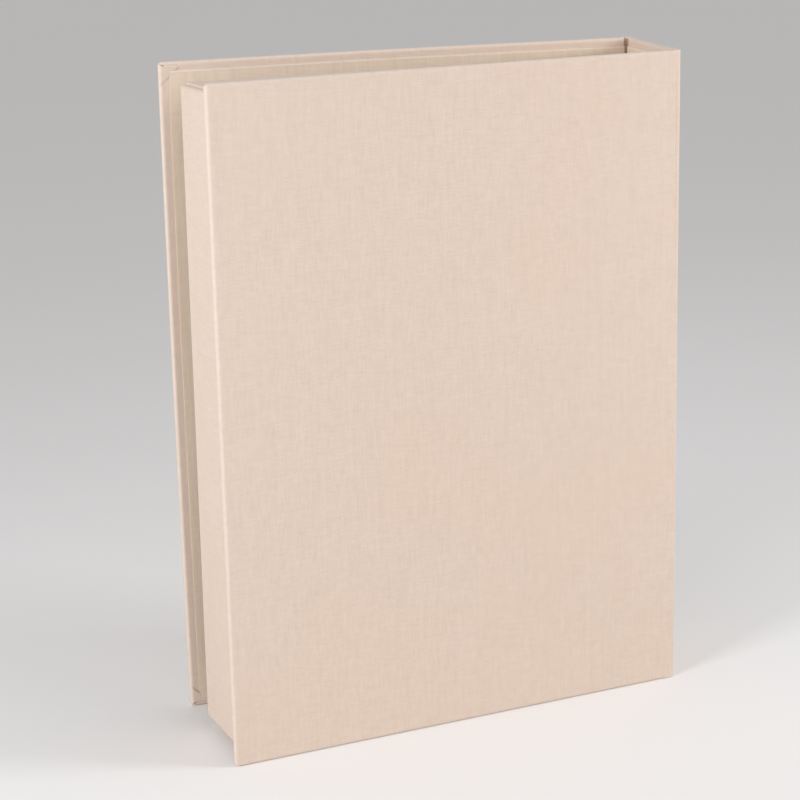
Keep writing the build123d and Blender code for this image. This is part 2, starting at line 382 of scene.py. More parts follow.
def foldRelief(x, z):
    # height of the folded cloth above the turn-in, by distance along (x) and below (z) a corner
    fold = cornerFold
    below = np.minimum(z, height - z)
    # distances inside the ply's three edges
    headEdge = below - fold["headInset"] * (1 - np.exp(-x / fold["headRun"]))
    headEnd = ((below - fold["headFrom"][1] - fold["headSlope"] * (x - fold["headFrom"][0]))
               / math.hypot(1, fold["headSlope"]))
    foreEnd = ((fold["foreFrom"][1] - below - fold["foreSlope"] * (x - fold["foreFrom"][0]))
               / math.hypot(1, fold["foreSlope"]))
    inside = np.minimum(np.minimum(headEdge, headEnd), foreEnd)
    ply = fold["ply"] * smooth(inside, -fold["edge"], fold["edge"])
    besideHead = np.minimum(headEnd, foreEnd) > 0
    gap = (fold["endGap"] * bell(inside, -2 * fold["edge"], fold["gapWidth"])
           + fold["headGap"] * besideHead * bell(headEdge, -fold["edge"], fold["gapWidth"]))
    # the nick is a short slit from the tip to where the ply's edge begins
    fromX, fromBelow = x - fold["nickFrom"][0], below - fold["nickFrom"][1]
    runX, runBelow = fold["nickRun"]
    t = np.clip((fromX * runX + fromBelow * runBelow) / (runX ** 2 + runBelow ** 2), 0, 1)
    nick = fold["nick"] * bell(np.hypot(fromX - runX * t, fromBelow - runBelow * t), 0, fold["nickWidth"])
    # it fades at the cuts of the turn-ins, and where the lining begins to hold it down
    alongFade, belowFade = fold["marginFade"]
    hidden = np.maximum(smooth(x, *alongFade) * smooth(below, *belowFade),
                        smooth(np.maximum(x, below), *fold["cutFade"]))
    return (ply - gap - nick) * (1 - hidden)


def panelCover(name, body, lidSide):
    stepX = panelSteps(caseSize["jointStart"], False)
    stepZ = panelSteps(height, True)
    inset, offset, run = edgeSection(caseSize["panelThickness"], caseSize["arris"])
    inset, offset, run = inset[:, 0], offset[:, 0], run[:, 0]
    # outer face
    ring = coverLook["ringInset"]
    faceX = ring + (caseSize["jointStart"] - ring) * stepX
    faceZ = ring + (height - 2 * ring) * stepZ
    gridX, gridZ = np.meshgrid(faceX, faceZ, indexing="ij")
    index = np.arange(gridX.size).reshape(gridX.shape)
    border = np.concatenate([index[::-1, 0], index[0, 1:], index[1:, -1]])
    # rings round the three covered edges: tail, fore-edge, head, each following the inset
    nx, nz = len(stepX), len(stepZ)
    d = inset[1:, None]
    tailX = d + (caseSize["jointStart"] - d) * stepX[::-1]
    foreZ = d + (height - 2 * d) * stepZ[1:]
    headX = d + (caseSize["jointStart"] - d) * stepX[1:]
    ringX = np.concatenate([tailX, d + 0 * foreZ, headX], axis=1)
    ringZ = np.concatenate([d + 0 * tailX, foreZ, height - d + 0 * headX], axis=1)
    ringY = offset[1:, None] + 0 * ringX
    arrisFrom, arrisTo = (caseSize["panelThickness"] - far for far in cornerFold["onArris"])
    onInner = smooth(offset[1:, None], arrisFrom, arrisTo)
    ringY = ringY + foldRelief(ringX, ringZ) * onInner
    ringIndex = gridX.size + np.arange(ringX.size).reshape(ringX.shape)
    allRings = np.concatenate([border[None], ringIndex])
    faces = np.concatenate([gridFaces(index), gridFaces(allRings)[:, ::-1]])
    # flat-cloth coordinates before the corners are rounded: x and z on the face, and beyond it
    # the distance round the edge, taken from the strip that each quad belongs to
    flatX = np.concatenate([gridX.ravel(), ringX.ravel()])
    flatZ = np.concatenate([gridZ.ravel(), ringZ.ravel()])
    beyond = np.concatenate([0 * gridX.ravel(), (run[1:, None] + 0 * ringX).ravel()])
    faceFaces = (nx - 1) * (nz - 1)
    strip = np.zeros(len(faces), int)
    column = np.tile(np.arange(allRings.shape[1] - 1), len(inset) - 1)
    strip[faceFaces:] = np.where(column < nx - 1, 1, np.where(column < nx + nz - 2, 2, 3))
    u, v, out = flatX[faces], flatZ[faces], beyond[faces]
    strip = strip[:, None]
    u = np.where((strip == 2) & (out > 0), ring - out, u)
    v = np.where((strip == 1) & (out > 0), ring - out, v)
    v = np.where((strip == 3) & (out > 0), height - ring + out, v)
    # places
    x, z = roundCorners(flatX, flatZ, caseSize["panelCorner"])
    y = np.concatenate([0 * gridX.ravel(), ringY.ravel()])
    points = np.stack([x, y, z], axis=-1)
    edge = np.minimum(np.minimum(flatX, flatZ), height - flatZ)
    wear = bell(edge, coverLook["wearAt"], coverLook["wearWidth"])
    points = placedCase(bowed(mirrored(points)), 1, 1) if lidSide else placedCase(points)
    piece = makePiece(name, points, faces, np.stack([u, v], axis=-1), bookCloth,
                      caseSize["cloth"], wear, flip=lidSide)
    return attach(piece, body)


def stripCover(name, path, outwards, along, section, groove, bulge, shares, lidSide):
    # a length of the case cover turned in at head and tail, carried along a path in plan;
    # section is its thickness and arris, groove how far its outer face is pressed in and bulge
    # how far its turn-in stands out, both as functions of z
    thickness, arris = section
    inset, offset, run = edgeSection(thickness, arris)
    faceZ = coverLook["ringInset"] + (height - 2 * coverLook["ringInset"]) * panelSteps(height, True)
    z = np.concatenate([inset[::-1], faceZ[1:-1, None] + 0 * inset[:1], height - inset])
    inwards = np.concatenate([offset[::-1], 0 * faceZ[1:-1, None] + 0 * inset[:1], offset])
    v = np.concatenate([coverLook["ringInset"] - run[::-1], faceZ[1:-1, None] + 0 * run[:1],
                        height - coverLook["ringInset"] + run])
    inner = inwards / thickness
    inwards = inwards + groove(z) * (1 - inner) + bulge(z) * smooth(inner, 0.5, 1)
    plan = path[None] - inwards[..., None] * outwards[None]
    points = np.concatenate([plan, z[..., None]], axis=-1)
    index = np.arange(z.size).reshape(z.shape)
    faces = gridFaces(index)[:, ::-1]
    u = np.broadcast_to(along, z.shape)
    clothUv = np.stack([u.ravel()[faces], v.ravel()[faces]], axis=-1)
    edge = np.minimum(z, height - z)
    wear = bell(edge, coverLook["wearAt"], coverLook["wearWidth"])
    if lidSide:
        points = mirrored(points)
    points = placedCase(points, *shares(points))
    return makePiece(name, points, faces, clothUv, bookCloth, caseSize["cloth"], wear, flip=lidSide)


# In plan the joint cloth runs along the base, turns the corner on a radius and runs up the
# spine. It bends in the strip between the inner edges of the two boards.
jointLook = {
    "radius": 3.0, "spineEdge": 7.6,
    "gapFrom": 5.2, "gapSlope": 0.2, "thin": 1.1,          # where the boards end the cloth is thin
    "thinArris": 0.45, "arrisFrom": 2.0, "arrisRun": 3.2,  # and its arris soft, as a share of thin
    "grooveDepth": 0.30, "grooveWidth": 0.45, "grooveAt": (5.65, 14.95),
    "grooveEnds": (6, 16), "grooveFaint": 0.45, "grooveRise": (190, 270),
    "bendFrom": (panelWidth, 3.8), "bendTo": (panelWidth + 1.9, 5.7),
    "bulge": 1.6, "bulgeAt": 8.36, "bulgeWidth": 1.25, "bulgeFade": (3.2, 4.6),    # the turn-in's fold
    "backShift": 0.75,        # the gap at the back lies this much nearer the fore-edge
}
arcLength = jointLook["radius"] * math.pi / 2
toTurn = caseSize["width"] - jointLook["radius"] - caseSize["jointStart"]
jointLength = toTurn + arcLength + caseSize["spineFlat"] - jointLook["radius"]
# closer steps where a groove is pressed and where the cloth bends
jointSteps = spread((0, 4.2, 4), (4.2, 6.4, 11), (6.4, 10.6, 12), (10.6, 14.3, 6), (14.3, 16.1, 9),
                    (16.1, jointLength, 4))
theta = np.clip((jointSteps - toTurn) / jointLook["radius"], 0, math.pi / 2)
jointPath = np.stack([
    caseSize["jointStart"] + np.minimum(jointSteps, toTurn) + jointLook["radius"] * np.sin(theta),
    jointLook["radius"] * (1 - np.cos(theta)) + np.maximum(jointSteps - toTurn - arcLength, 0)], axis=-1)
jointOutwards = np.stack([np.sin(theta), -np.cos(theta)], axis=-1)
spineEdgeAt = toTurn + arcLength + jointLook["spineEdge"] - jointLook["radius"]


def jointSection(shift):
    # thickness and arris along the joint: full over the boards, thin and soft in the gap
    full, thin = caseSize["panelThickness"], jointLook["thin"]
    soft = jointLook["thinArris"] * thin
    start, end, slope = jointLook["gapFrom"] - shift, spineEdgeAt - shift, jointLook["gapSlope"]
    thickness = np.interp(jointSteps, [start, start + slope, end - slope, end], [full, thin, thin, full])
    arris = np.interp(jointSteps, [jointLook["arrisFrom"], start, end, end + jointLook["arrisRun"]],
                      [caseSize["arris"], soft, soft, caseSize["arris"]])
    return thickness, arris


def jointBulge(z, shift=0.0):
    # the doubled cloth stands up between the two boards where no lining holds it down
    ends = np.minimum(z, height - z)
    ridge = bell(jointSteps, jointLook["bulgeAt"] - shift, jointLook["bulgeWidth"])
    return jointLook["bulge"] * ridge[None] * (1 - smooth(ends, *jointLook["bulgeFade"]))


def jointGroove(z):
    # two pressed lines beside the boards, fading out over the turned-in ends and further down
    lines = sum(bell(jointSteps, at, jointLook["grooveWidth"]) for at in jointLook["grooveAt"])
    ends = smooth(z, *jointLook["grooveEnds"]) * smooth(height - z, *jointLook["grooveEnds"])
    faint = jointLook["grooveFaint"]
    fade = faint + (1 - faint) * smooth(z, *jointLook["grooveRise"])
    return jointLook["grooveDepth"] * lines[None] * ends * fade


def bendShare(points):
    start, end = np.array(jointLook["bendFrom"]), np.array(jointLook["bendTo"])
    t = np.clip((points[..., :2] - start) @ (end - start) / ((end - start) @ (end - start)), 0, 1)
    return t * t * (3 - 2 * t)


def frontShares(points):
    return bendShare(points), np.zeros(points.shape[:-1])


def backShares(points):
    return np.ones(points.shape[:-1]), 1 - bendShare(mirrored(points))


def blendFront(piece):
    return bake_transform(piece)


def blendBack(piece):
    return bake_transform(piece)


# Boards of the case, inside the covers: slabs with their edges sanded round. A slab is its outer
# face, rings of growing depth round its edge, and its inner face, all from one grid.
boardLook = {"arris": 1.2, "corner": 1.6, "across": 24, "up": 32, "edgeSteps": 5}


def boardPiece(name, body, width, thickness, toCase, lidSide):
    radius = boardLook["arris"]
    inset = caseSize["cloth"]
    tall = height - 2 * inset
    x = inset + radius + (width - 2 * radius) * np.linspace(0, 1, boardLook["across"] + 1)
    z = inset + radius + (tall - 2 * radius) * np.linspace(0, 1, boardLook["up"] + 1)
    faceX, faceZ = np.meshgrid(x, z, indexing="ij")
    outer = np.arange(faceX.size).reshape(faceX.shape)
    border = np.concatenate([outer[:-1, 0], outer[-1, :-1], outer[:0:-1, -1], outer[0, :0:-1]])
    # ring k lies at inset d from the slab's outline and at depth q: a quarter turn, then another
    phi = np.linspace(0, math.pi / 2, boardLook["edgeSteps"] + 1)
    first, second = phi[1:, None], phi[:-1, None]
    d = radius * np.concatenate([1 - np.sin(first), 1 - np.cos(second)])
    q = np.concatenate([radius * (1 - np.cos(first)), thickness - radius * (1 - np.sin(second))])
    shareX = (faceX.ravel()[border] - x[0]) / (x[-1] - x[0])
    shareZ = (faceZ.ravel()[border] - z[0]) / (z[-1] - z[0])
    ringX = inset + d + (width - 2 * d) * shareX
    ringZ = inset + d + (tall - 2 * d) * shareZ
    rings = faceX.size + np.arange(ringX.size).reshape(ringX.shape)
    inner = faceX.size + ringX.size + outer
    loops = np.concatenate([border[None], rings, (inner.ravel()[border])[None]])
    loops = np.concatenate([loops, loops[:, :1]], axis=1)
    faces = np.concatenate([gridFaces(outer), gridFaces(inner)[:, ::-1], gridFaces(loops)])
    flatX = np.concatenate([faceX.ravel(), ringX.ravel(), faceX.ravel()])
    flatZ = np.concatenate([faceZ.ravel(), ringZ.ravel(), faceZ.ravel()])
    depthIn = np.concatenate([0 * faceX.ravel(), (q + 0 * ringX).ravel(), thickness + 0 * faceX.ravel()])
    points = toCase(flatX, depthIn, flatZ)
    points = bowed(mirrored(points)) if lidSide else points
    faces = faces[:, ::-1] if lidSide else faces
    points = placedCase(points, float(body != "base"), float(lidSide))
    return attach(makeObject(name, points, faces.tolist(), greyboard, True), body)


def inPanel(x, q, z):
    x, z = roundCorners(x, z, boardLook["corner"], caseSize["cloth"])
    return np.stack([x, caseSize["cloth"] + q, z], axis=-1)


def inSpine(x, q, z):
    return np.stack([caseSize["width"] - caseSize["cloth"] - q, jointLook["spineEdge"] + x, z], axis=-1)


boardThickness = caseSize["panelThickness"] - 2 * caseSize["cloth"]
panelBoardWidth = panelWidth - 2 * caseSize["cloth"] - jointLook["backShift"]
spineBoardWidth = depth - 2 * jointLook["spineEdge"] - 2 * caseSize["cloth"]
baseCore = boardPiece("base_panel_board", "base", panelBoardWidth, boardThickness, inPanel, False)
lidCore = boardPiece("lid_panel_board", "lid", panelBoardWidth, boardThickness, inPanel, True)
spineCore = boardPiece("spine_panel_board", "spine", spineBoardWidth, boardThickness, inSpine, False)

baseCover = panelCover("base_cover", "base", False)
lidCover = panelCover("lid_cover", "lid", True)
frontJoint = blendFront(stripCover("front_joint_cover", jointPath, jointOutwards,
                                   caseSize["jointStart"] + jointSteps, jointSection(0.0),
                                   jointGroove, jointBulge, frontShares, False))
backJoint = blendBack(stripCover("back_joint_cover", jointPath, jointOutwards,
                                 caseSize["jointStart"] + jointSteps, jointSection(jointLook["backShift"]),
                                 jointGroove, lambda z: jointBulge(z, jointLook["backShift"]),
                                 backShares, True))
spineSteps = np.linspace(caseSize["spineFlat"], depth - caseSize["spineFlat"], 8)
spinePath = np.stack([caseSize["width"] + 0 * spineSteps, spineSteps], axis=-1)
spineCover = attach(stripCover(
    "spine_cover", spinePath, np.tile([1.0, 0.0], (len(spineSteps), 1)),
    caseSize["jointStart"] + jointLength + spineSteps - caseSize["spineFlat"],
    (caseSize["panelThickness"] + 0 * spineSteps, caseSize["arris"] + 0 * spineSteps),
    lambda z: 0 * z, lambda z: 0 * z, lambda points: (1.0, 0.0), False), "spine")
print("case cover made")


# One lining runs from the lid over the back joint, the spine and the front joint. It lies over
# the turn-ins, and sinks a little where they end and only board is under it.
liningLook = {
    "sink": 0.2, "step": (15.2, 17.0), "jointEnd": panelWidth - 4.2, "baseEnd": panelWidth - 1.35,
    "soften": 0.38, "spacing": 0.15, "wearWidth": 0.5,
    # in the gap it dips to the fold, runs from the panel's edge to the turn and climbs onto the
    # spine's board at its foot, which moves this many times as far as the back gap does
    "edge": 0.35, "edgeSlope": 0.2, "turn": 2.3, "fold": 1.9, "foot": 7.3, "footShift": 1.6,
    "backFlat": 20.4, "frontFlat": 17.6,     # widths of the two joint linings laid flat
    "wearRun": 1.0, "closeFrom": 14, "closeTo": 18, "plainFrom": 24,
}
liningLevel = caseSize["panelThickness"] + caseSize["lining"]


def marginSteps(margin):
    # steps in from a lining's cut edge, close along the edge and over the end of the turn-in
    worn = margin + liningLook["wearRun"]
    first, last, plain = (liningLook[key] for key in ("closeFrom", "closeTo", "plainFrom"))
    return spread((margin, worn, 4), (worn, first, 6), (first, last, 10), (last, plain, 3))


nearMargin = marginSteps(caseSize["liningMargin"])
liningZ = np.concatenate([nearMargin, spread((nearMargin[-1], height - nearMargin[-1], 30))[1:-1],
                          height - nearMargin[::-1]])


def overTurnIn(distance):
    return 1 - smooth(distance, *liningLook["step"])


def sunkEnds(z):
    return liningLook["sink"] * (1 - overTurnIn(z)) * (1 - overTurnIn(height - z))


def liningPiece(name, plan, along, sunk, shares, lidSide):
    # a lining carried along a path in plan and sunk along its own normal
    step = np.gradient(plan, axis=0)
    step = step / np.linalg.norm(step, axis=1)[:, None]
    into = np.stack([step[:, 1], -step[:, 0]], axis=-1)
    z = liningZ[:, None] + 0 * along
    flat = plan[None] + sunk[..., None] * into[None]
    points = np.concatenate([flat, z[..., None]], axis=-1)
    if lidSide:
        points = bowed(mirrored(points))
    index = np.arange(z.size).reshape(z.shape)
    faces = gridFaces(index)
    clothUv = np.stack([np.broadcast_to(along, z.shape).ravel()[faces], z.ravel()[faces]], axis=-1)
    edge = np.minimum(z, height - z) - caseSize["liningMargin"]
    wear = bell(edge, 0, liningLook["wearWidth"])
    return makePiece(name, placedCase(points, *shares(points)), faces, clothUv, liningCloth,
                     caseSize["lining"], wear, flip=lidSide)


def softened(corners, spacing, width):
    # a line of straight runs, read at even steps and smoothed along its length by a bell curve
    corners = np.array(corners)
    length = np.concatenate([[0], np.cumsum(np.linalg.norm(np.diff(corners, axis=0), axis=1))])
    count = int(length[-1] / spacing)
    at = np.linspace(0, length[-1], count + 1)
    line = np.stack([np.interp(at, length, corners[:, k]) for k in (0, 1)], axis=-1)
    pull = bell(at[:, None], at[None], width)
    pull = pull / pull.sum(axis=1)[:, None]
    near = np.minimum(at, length[-1] - at) < 2 * width
    return np.where(near[:, None], line, pull @ line), at


nearFore = marginSteps(caseSize["foreMargin"])
lidX = np.concatenate([nearFore, spread((nearFore[-1], liningLook["jointEnd"], 24))[1:]])
lidPlan = np.stack([lidX, liningLevel + 0 * lidX], axis=-1)
lidSunk = (1 - overTurnIn(lidX))[None] * sunkEnds(liningZ)[:, None]
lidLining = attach(liningPiece("lid_lining_sheet", lidPlan, lidX, lidSunk,
                                lambda points: (1.0, 1.0), True), "lid")


def jointLining(name, startX, shares, lidSide):
    shift = jointLook["backShift"] if lidSide else 0.0
    edge, turn = (panelWidth + liningLook[side] - shift for side in ("edge", "turn"))
    fold, foot = liningLook["fold"], liningLook["foot"] - liningLook["footShift"] * shift
    onSpine = panelWidth - caseSize["lining"]
    corners = [(startX, liningLevel), (edge, liningLevel), (edge + liningLook["edgeSlope"], fold),
               (turn, fold), (turn, foot), (onSpine, foot), (onSpine, caseSize["spineFlat"])]
    plan, at = softened(corners, liningLook["spacing"], liningLook["soften"])
    sunk = sunkEnds(liningZ)[:, None] + 0 * at
    return liningPiece(name, plan, startX + at, sunk, shares, lidSide)


backLining = blendBack(jointLining("back_joint_lining", liningLook["jointEnd"], backShares, True))
frontLining = blendFront(jointLining("front_joint_lining", liningLook["baseEnd"], frontShares, False))
spineInner = np.stack([panelWidth - caseSize["lining"] + 0 * spineSteps, spineSteps], axis=-1)
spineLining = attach(liningPiece("spine_lining_sheet", spineInner, spineSteps,
                                  sunkEnds(liningZ)[:, None] + 0 * spineSteps,
                                  lambda points: (1.0, 0.0), False), "spine")
print("linings made")


trayLook = {
    "low": (5.0, 3.8, 5.0), "high": (panelWidth - 2.0, 49.9, 315.0), "wall": 3.2, "corner": 1.4,
    "innerCorner": 0.35, "rim": 0.6, "floor": 6.6, "footRoom": 1.2, "rimRoom": 0.6, "wallSteps": 8,
    "sideStep": 1.1, "stepAt": 3.0, "stepHalf": 0.18, "stepFade": (1.0, 8.0),
    "groove": 0.35, "grooveAt": 2.6, "grooveWidth": 0.22, "grooveFade": (10.0, 30.0),
    "turnUnder": 16.0, "underEnd": 1.0, "foldRows": 5, "foot": 0.3,
    "cornerSteps": 5, "sideSteps": 40, "sideFrom": 6.0,
    # runs of points beside a corner, closest where the step and its groove are
    "endRuns": ((1.5, 1.9, 2), (1.9, 2.2, 1), (2.2, 2.4, 1), (2.4, 2.8, 4), (2.8, 3.2, 5), (3.2, 3.6, 1),
                (3.6, 5.0, 1)),
    "wearAt": 0.2, "wearWidth": 0.8,
    "floorTurn": 12.0, "floorStep": 0.8, "floorRise": 0.2, "floorGap": -0.05, "boardStep": 0.3,
    "spineRoom": 0.5,         # the tray is this much narrower here, to clear the spine though askew
}


def trayRing(low, high, radius):
    # a rectangle with round corners, one list of points from the tail of the fore-edge, with
    # the same number of points whatever its size
    lowX, lowZ = low
    highX, highZ = high
    quarter = np.linspace(0, math.pi / 2, trayLook["cornerSteps"] + 1)
    share = (1 - np.cos(np.linspace(0, math.pi, trayLook["sideSteps"] + 2)[1:-1])) / 2
    ends = spread(*trayLook["endRuns"])
    plain = trayLook["sideFrom"]
    sides = []
    corners = ((lowX, lowZ), (lowX, highZ), (highX, highZ), (highX, lowZ))
    for k, (x, z) in enumerate(corners):
        nextX, nextZ = corners[(k + 1) % 4]
        along = np.array([np.sign(nextX - x), np.sign(nextZ - z)])
        length = abs(nextX - x) + abs(nextZ - z)
        across = np.array([along[1], -along[0]])     # into the box
        centre = np.array([x, z]) + radius * (along + across)
        arc = np.cos(quarter[:, None]) * along + np.sin(quarter[:, None]) * across
        turn = centre[None] - radius * arc
        inner = np.clip(ends, radius, None)
        run = np.concatenate([inner, plain + (length - 2 * plain) * share, (length - inner)[::-1]])
        line = np.array([x, z])[None] + run[:, None] * along[None]
        sides.append(np.concatenate([turn, line]))
    return np.concatenate(sides)


def askew(points):
    # the tray's small turn on the base, about the middle of its floor, with the head to the right
    angle = math.radians(caseSize["trayAskew"])
    middleX, middleZ = (trayLook["low"][0] + trayLook["high"][0]) / 2, height / 2
    dx, dz = points[..., 0] - middleX, points[..., 2] - middleZ
    return np.stack([middleX + dx * math.cos(angle) + dz * math.sin(angle), points[..., 1],
                     middleZ - dx * math.sin(angle) + dz * math.cos(angle)], axis=-1)


def steppedEnds(points, share):
    # the side walls' ends stand a step below the head and tail walls, and a groove follows the
    # foot of the step and fades towards the rim; both die out over the wall's thickness
    lowX, _, lowZ = trayLook["low"]
    highX, _, highZ = trayLook["high"]
    x, y, z = points[..., 0], points[..., 1], points[..., 2]
    near = np.minimum(x - lowX, highX - x)
    fromEnd = np.minimum(z - lowZ, highZ - z)
    at, half = trayLook["stepAt"], trayLook["stepHalf"]
    drop = trayLook["sideStep"] * (1 - smooth(near, at - half, at + half))
    groove = trayLook["groove"] * bell(near, trayLook["grooveAt"], trayLook["grooveWidth"])
    groove = groove * (1 - smooth(y, *trayLook["grooveFade"]))
    down = (drop + groove) * (1 - smooth(fromEnd, *trayLook["stepFade"])) * (1 - share)
    z = z + np.sign((lowZ + highZ) / 2 - z) * down
    return np.stack([x, y, z], axis=-1)


def makeTray():
    # the cloth's rows run in from under the floor, round the foot, up the wall, over the rim on
    # two quarter turns and down inside, where they pass the floor's level and the last one turns
    # back up to it; each row is a blend of the outer and the inner ring
    lowX, lowY, lowZ = trayLook["low"]
    highX, highY, highZ = trayLook["high"]
    wall, rim, foot = trayLook["wall"], trayLook["rim"], trayLook["foot"]
    outer = trayRing((lowX, lowZ), (highX, highZ), trayLook["corner"])
    inner = trayRing((lowX + wall, lowZ + wall), (highX - wall, highZ - wall), trayLook["innerCorner"])
    phi = np.linspace(0, math.pi / 2, trayLook["foldRows"])
    under = np.linspace(trayLook["turnUnder"], trayLook["underEnd"], trayLook["foldRows"])
    wallY = np.linspace(lowY + trayLook["footRoom"], highY - rim - trayLook["rimRoom"],
                        trayLook["wallSteps"])
    depthIn = np.concatenate([under, foot * (1 - np.sin(phi)), 0 * wallY, rim * (1 - np.cos(phi)),
                              [wall / 2], wall - rim * (1 - np.sin(phi)), wall + 0 * wallY, [wall]])
    y = np.concatenate([lowY + 0 * under, lowY + foot * (1 - np.cos(phi)), wallY,
                        highY - rim * (1 - np.sin(phi)), [highY], highY - rim * (1 - np.cos(phi)),
                        wallY[::-1], [trayLook["floor"]]])
    share = (depthIn / wall)[:, None, None]
    plan = outer[None] * (1 - share) + inner[None] * share
    points = np.stack([plan[..., 0], y[:, None] + 0 * plan[..., 0], plan[..., 1]], axis=-1)
    points = steppedEnds(points, np.minimum(share[..., 0], 1))
    count = len(outer)
    index = np.arange(points.shape[0] * count).reshape(-1, count)
    index = np.concatenate([index, index[:, :1]], axis=1)
    faces = gridFaces(index)
    closed = np.concatenate([outer, outer[:1]])
    around = np.concatenate([[0], np.cumsum(np.linalg.norm(np.diff(closed, axis=0), axis=1))])
    over = np.concatenate([[0], np.cumsum(np.hypot(np.diff(depthIn), np.diff(y)))])
    gridU, gridV = np.meshgrid(over, around, indexing="ij")
    corner = np.arange(index.size).reshape(index.shape)
    uvFaces = gridFaces(corner)
    clothUv = np.stack([gridV.ravel()[uvFaces], gridU.ravel()[uvFaces]], axis=-1)
    wear = bell(y, highY - trayLook["wearAt"], trayLook["wearWidth"])[:, None] + 0 * points[..., 0]
    piece = makePiece("tray_cover", placed(askew(points)), faces, clothUv, bookCloth,
                      caseSize["cloth"], wear)
    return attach(piece, "base")


trayCover = makeTray()


def makeFloorLining():
    # the sheet on the floor rises over the wall cloth that is turned onto the floor under it
    lowX, _, lowZ = trayLook["low"]
    highX, _, highZ = trayLook["high"]
    gap = trayLook["wall"] + trayLook["floorGap"]
    near = spread((0, 1, 3), (1, 10, 4), (10, 14, 10), (14, 20, 3))
    lengthX, lengthZ = highX - lowX - 2 * gap, highZ - lowZ - 2 * gap
    x = np.unique(np.concatenate([near, np.linspace(20, lengthX - 20, 24), lengthX - near]))
    z = np.unique(np.concatenate([near, np.linspace(20, lengthZ - 20, 30), lengthZ - near]))
    gridX, gridZ = np.meshgrid(x, z, indexing="ij")
    edge = np.minimum(np.minimum(gridX, lengthX - gridX), np.minimum(gridZ, lengthZ - gridZ))
    turn, step = trayLook["floorTurn"], trayLook["floorStep"]
    rise = trayLook["floorRise"] * (1 - smooth(edge, turn - step, turn + step))
    y = trayLook["floor"] + caseSize["lining"] + rise
    points = np.stack([lowX + gap + gridX, y, lowZ + gap + gridZ], axis=-1)
    index = np.arange(gridX.size).reshape(gridX.shape)
    faces = gridFaces(index)[:, ::-1]
    clothUv = np.stack([gridX.ravel()[faces], gridZ.ravel()[faces]], axis=-1)
    wear = bell(edge, 0, liningLook["wearWidth"])
    piece = makePiece("tray_floor_lining_sheet", placed(askew(points)), faces, clothUv, liningCloth,
                      caseSize["lining"], wear)
    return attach(piece, "base")


floorLining = makeFloorLining()


def trayBoard(nodeName):
    # a board of the tray under its cloth: a plain slab, turned with the tray
    low, high = (np.array(corner) * 1000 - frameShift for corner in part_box(nodeName))
    middle = (trayLook["low"][0] + trayLook["high"][0]) / 2
    low[0] -= trayLook["spineRoom"] * (low[0] > middle)
    high[0] -= trayLook["spineRoom"] * (high[0] > middle)
    if "side" in nodeName or "fore" in nodeName:
        # the side walls are as much shorter as their cloth is stepped in
        shorter = np.array([0, 0, trayLook["sideStep"] + trayLook["groove"] - trayLook["boardStep"]])
        low, high = low + shorter, high - shorter
    corners = np.array([[x, y, z] for x in (0, 1) for y in (0, 1) for z in (0, 1)])
    faces = [(0, 1, 3, 2), (4, 6, 7, 5), (0, 4, 5, 1), (2, 3, 7, 6), (0, 2, 6, 4), (1, 5, 7, 3)]
    points = placed(askew(low + (high - low) * corners))
    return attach(makeObject(nodeName + "_core", points, faces, greyboard, False), "base")


trayNodes = ["tray_floor_board", "fore_edge_wall_board", "spine_side_wall_board",
             "head_wall_board", "tail_wall_board"]
trayBoards = {nodeName: trayBoard(nodeName) for nodeName in trayNodes}
print("tray made")


turnInRun = caseSize["turnIn"] + caseSize["panelThickness"]
coverLength = height + 2 * turnInRun
panelFlat = (caseSize["jointStart"] + turnInRun, coverLength)
cutCorners = turnInRun ** 2 - caseSize["turnIn"] ** 2      # both fore-edge corners, cut for their mitres
liningLength = height - 2 * caseSize["liningMargin"]
trayRound = 2 * (trayLook["high"][0] - trayLook["low"][0] + trayLook["high"][2] - trayLook["low"][2])
trayUp = (2 * trayLook["high"][1] - trayLook["low"][1] - trayLook["floor"] + trayLook["wall"]
          + trayLook["turnUnder"])
floorInset = 2 * (trayLook["wall"] + trayLook["floorGap"])
floorFlat = tuple(trayLook["high"][k] - trayLook["low"][k] - floorInset for k in (0, 2))
sheets = [
    # piece, CAD nodes, slot, flat size in mm, flat area in mm2, how it is held, what it lies on
    (baseCover, ["base_cover_cloth"], "linen_book_cloth", panelFlat,
     panelFlat[0] * panelFlat[1] - cutCorners, "stretched", ["base_panel_board"]),
    (lidCover, ["lid_cover_cloth"], "linen_book_cloth", panelFlat,
     panelFlat[0] * panelFlat[1] - cutCorners, "stretched", ["lid_panel_board"]),
    (frontJoint, ["front_joint_cloth"], "linen_book_cloth", (jointLength, coverLength), None,
     "stretched", ["base_panel_board", "spine_panel_board"]),
    (backJoint, ["back_joint_cloth"], "linen_book_cloth", (jointLength, coverLength), None,
     "stretched", ["spine_panel_board", "lid_panel_board"]),
    (spineCover, ["spine_cover_cloth"], "linen_book_cloth",
     (depth - 2 * caseSize["spineFlat"], coverLength), None, "stretched", ["spine_panel_board"]),
    (lidLining, ["lid_lining"], "lining_cloth",
     (liningLook["jointEnd"] - caseSize["foreMargin"], liningLength), None, "stretched",
     ["lid_panel_board"]),
    (backLining, ["back_joint_cloth"], "lining_cloth",
     (liningLook["backFlat"], liningLength), None, "folded", ["back_joint_cover"]),
    (spineLining, ["spine_lining"], "lining_cloth",
     (depth - 2 * caseSize["spineFlat"], liningLength), None, "stretched", ["spine_panel_board"]),
    (frontLining, ["front_joint_cloth"], "lining_cloth",
     (liningLook["frontFlat"], liningLength), None, "folded", ["front_joint_cover"]),
    (trayCover, ["tray_cover_cloth"], "linen_book_cloth", (trayUp, trayRound), None, "stretched",
     [board.name for board in trayBoards.values()]),
    (floorLining, ["tray_floor_lining"], "lining_cloth", floorFlat, None, "laid",
     [trayBoards["tray_floor_board"].name]),
]
for piece, nodes, slotName, flat, area, held, under in sheets:
    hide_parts(*nodes)
